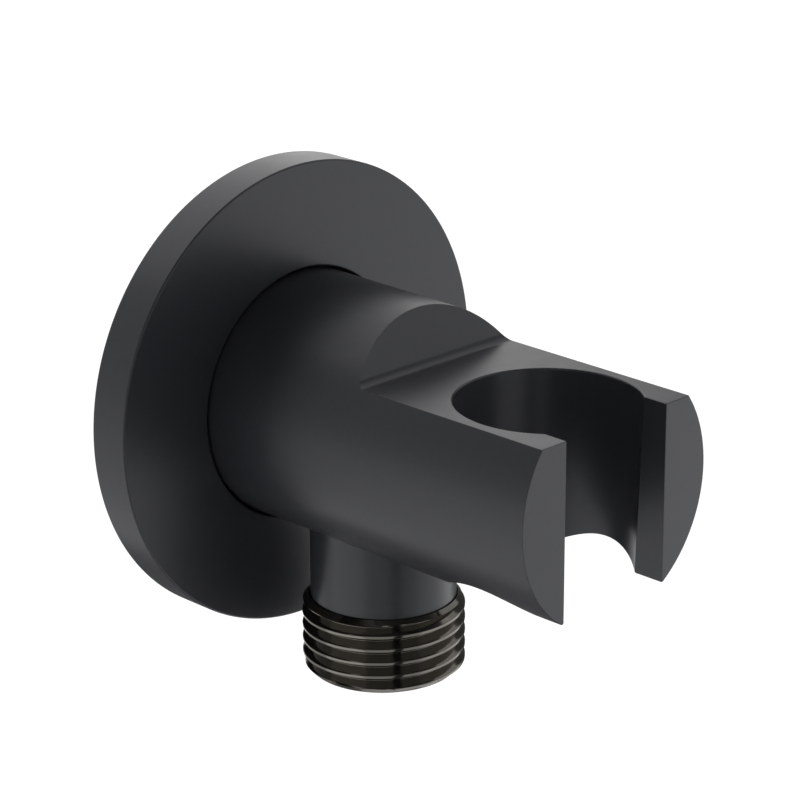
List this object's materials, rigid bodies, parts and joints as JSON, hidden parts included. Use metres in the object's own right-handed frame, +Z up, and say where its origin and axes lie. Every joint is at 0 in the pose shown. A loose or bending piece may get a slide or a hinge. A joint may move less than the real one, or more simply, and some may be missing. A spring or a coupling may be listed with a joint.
{
  "type": "wall outlet elbow",
  "caption": "Round-rosette wall outlet elbow with a forked hand shower cradle, a threaded hose outlet pointing down and a non-return valve inside.",
  "frame": {"origin": "on the body's axis, in the plane of the wall that the rosette's rim and the wall nipple's flange lie on", "axes": "+Z up, the body stands out of the wall towards -Y, the hose outlet points along -Z"},
  "size_m": [0.061, 0.0742, 0.064],
  "materials": {
    "coated_brass": "satin matt charcoal coating on brass",
    "dark_chrome": "polished black chrome on brass",
    "bare_brass": "turned brass",
    "screw_steel": "stainless steel",
    "spring_steel": "drawn stainless wire",
    "black_rubber": "matt rubber",
    "foam_ring": "closed-cell foam",
    "valve_plastic": "moulded white plastic"
  },
  "bodies": {
    "root": {"holder_body": "coated_brass", "rosette": "coated_brass", "outlet_nipple": "dark_chrome", "wall_nipple": "bare_brass", "locking_screw": "screw_steel", "rosette_o_ring": "black_rubber", "spigot_o_ring_rear": "black_rubber", "spigot_o_ring_front": "black_rubber", "nipple_seal": "black_rubber", "valve_o_ring": "black_rubber", "rosette_seal": "foam_ring", "valve_seat": "valve_plastic", "valve_housing": "valve_plastic", "valve_spring": "spring_steel"},
    "poppet": {"valve_poppet": "valve_plastic", "poppet_seal": "black_rubber"}
  },
  "joints": [
    {"name": "poppet_slide", "type": "slide", "parent": "root", "child": "poppet", "axis": [0, 0, -1], "range_m": [0, 0.0025], "stiffness_N_per_m": 100, "springref_m": -0.001, "deforming": ["valve_spring"]}
  ]
}
